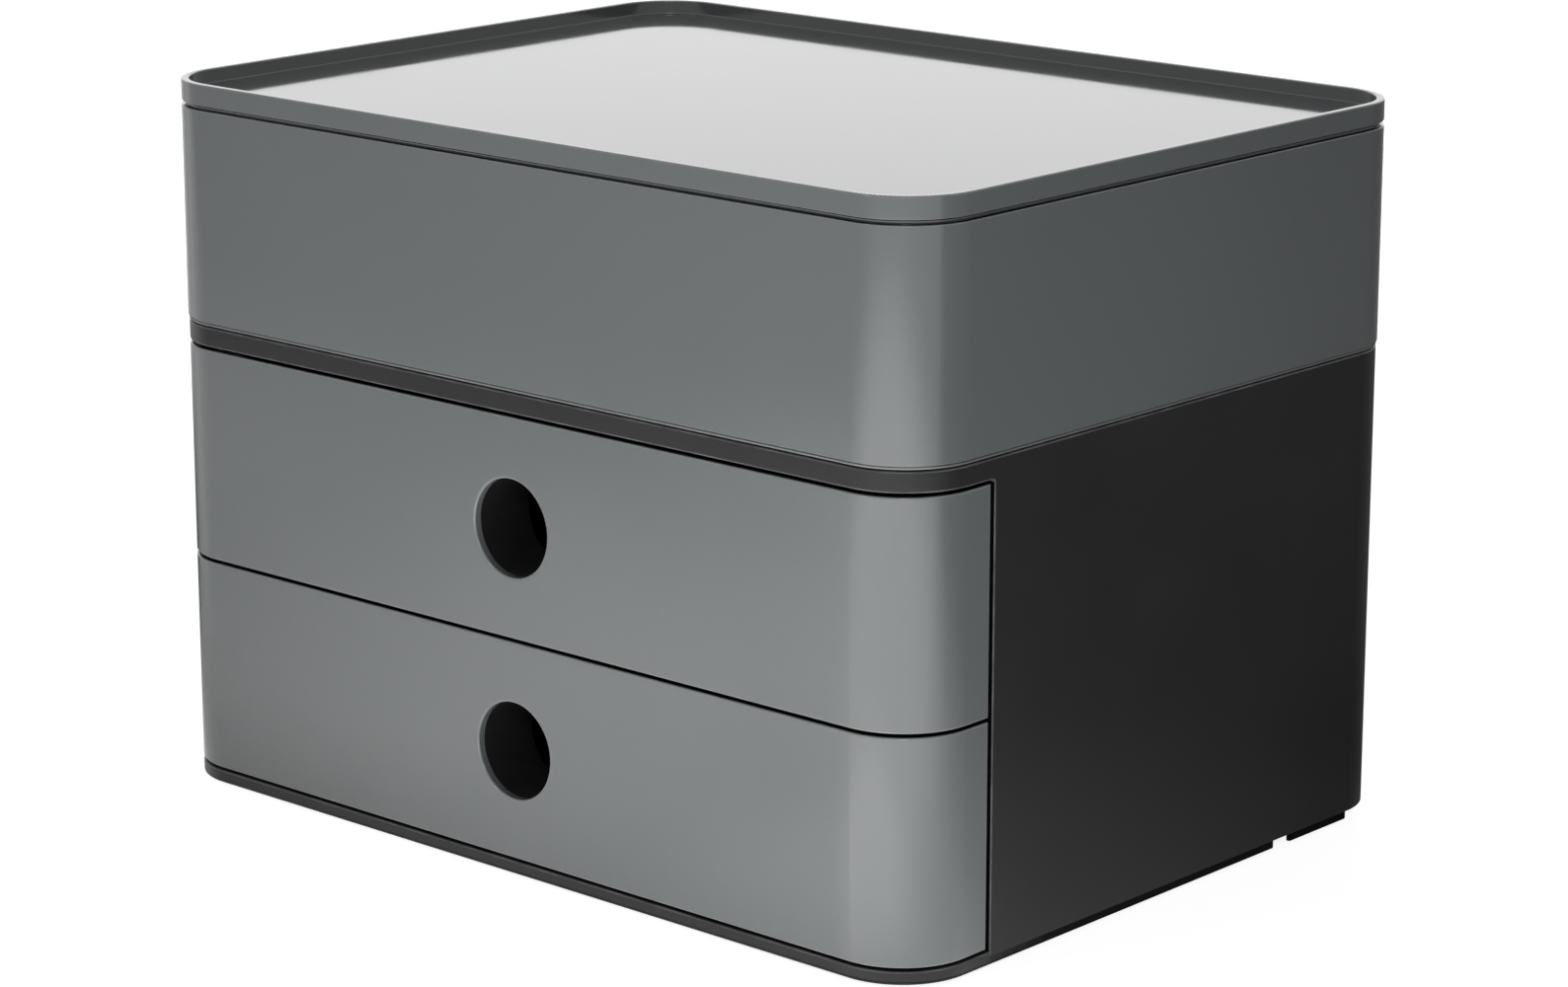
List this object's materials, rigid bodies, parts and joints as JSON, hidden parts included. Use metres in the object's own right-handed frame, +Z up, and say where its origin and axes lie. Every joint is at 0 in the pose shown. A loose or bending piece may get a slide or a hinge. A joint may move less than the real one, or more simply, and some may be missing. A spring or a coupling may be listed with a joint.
{
  "type": "desktop file drawer",
  "caption": "Desktop drawer unit with round upright corners: two pull-out drawers with finger holes, a utensil box standing on the deck, and a lift-off lid with a raised rim.",
  "frame": {"origin": "centre of the footprint, on the surface the rubber feet rest on", "axes": "+Z up, -Y is the front with the drawers, +X is the viewer's right when looking at the front"},
  "size_m": [0.26, 0.195, 0.1885],
  "materials": {
    "granite_gloss_abs": "high gloss moulding",
    "anthracite_abs": "satin moulding",
    "tray_abs": "fine satin moulding",
    "black_acetal": "smooth bearing plastic",
    "black_rubber": "matt rubber",
    "clear_silicone": "soft translucent pad",
    "zinc_screw": "zinc plated"
  },
  "bodies": {
    "carcass": {"base_plate": "anthracite_abs", "carcass_shell": "anthracite_abs", "back_panel": "anthracite_abs", "base_screws": "zinc_screw", "foot_front_left": "black_rubber", "foot_front_right": "black_rubber", "foot_rear_left": "black_rubber", "foot_rear_right": "black_rubber", "runner_lower_left": "black_acetal", "runner_lower_right": "black_acetal", "runner_upper_left": "black_acetal", "runner_upper_right": "black_acetal", "bumpers_lower": "black_rubber", "bumpers_upper": "black_rubber"},
    "lower_drawer": {"lower_drawer_front": "granite_gloss_abs", "lower_drawer_tray": "tray_abs", "lower_drawer_screws": "zinc_screw"},
    "upper_drawer": {"upper_drawer_front": "granite_gloss_abs", "upper_drawer_tray": "tray_abs", "upper_drawer_screws": "zinc_screw"},
    "box": {"utensil_box": "granite_gloss_abs", "box_pads": "clear_silicone"},
    "lid": {"lid": "granite_gloss_abs"}
  },
  "joints": [
    {"name": "lower_drawer_slide", "type": "slide", "parent": "carcass", "child": "lower_drawer", "axis": [0, -1, 0], "range_m": [0, 0.13]},
    {"name": "upper_drawer_slide", "type": "slide", "parent": "carcass", "child": "upper_drawer", "axis": [0, -1, 0], "range_m": [0, 0.13]},
    {"name": "box_lift", "type": "slide", "parent": "carcass", "child": "box", "axis": [0, 0, 1], "range_m": [0, 0.08]},
    {"name": "lid_lift", "type": "slide", "parent": "box", "child": "lid", "axis": [0, 0, 1], "range_m": [0, 0.06]}
  ]
}
